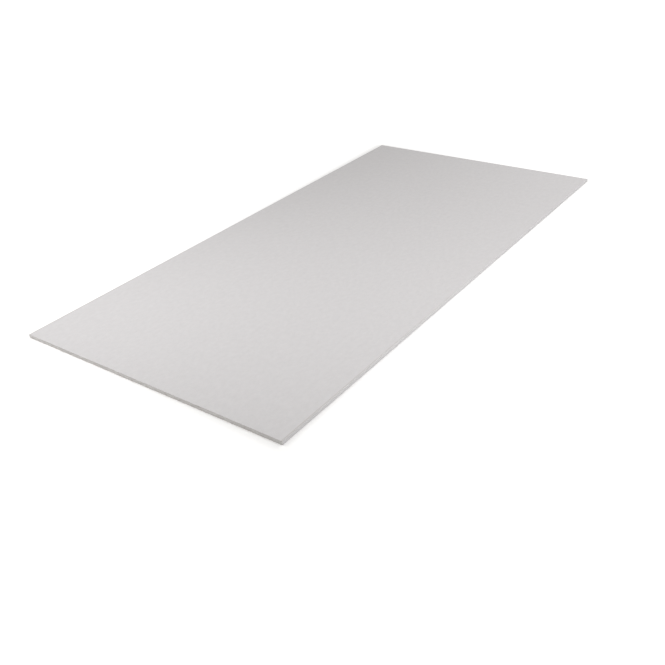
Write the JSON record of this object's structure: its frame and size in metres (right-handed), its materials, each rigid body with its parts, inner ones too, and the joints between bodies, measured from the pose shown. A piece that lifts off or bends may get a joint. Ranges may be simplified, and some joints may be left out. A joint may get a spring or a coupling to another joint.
{
  "type": "drywall sheet",
  "caption": "Full sheet of square-edged gypsum wallboard lying on its back, with light grey face paper wrapped over both long edges and brown back paper.",
  "frame": {"origin": "middle of the back paper's underside, on the plane that the sheet lies on", "axes": "+Z out of the face, +Y along the sheet's length, +X across its width"},
  "size_m": [1.2, 2.4, 0.015],
  "materials": {
    "gypsum_core": "aerated gypsum plaster, matt off-white, sawn at the ends",
    "face_paper": "calendered light grey liner board, matt",
    "back_paper": "unbleached brown recycled liner board, matt and fibrous"
  },
  "bodies": {
    "root": {"gypsum_core": "gypsum_core", "face_paper": "face_paper", "back_paper": "back_paper"}
  },
  "joints": []
}
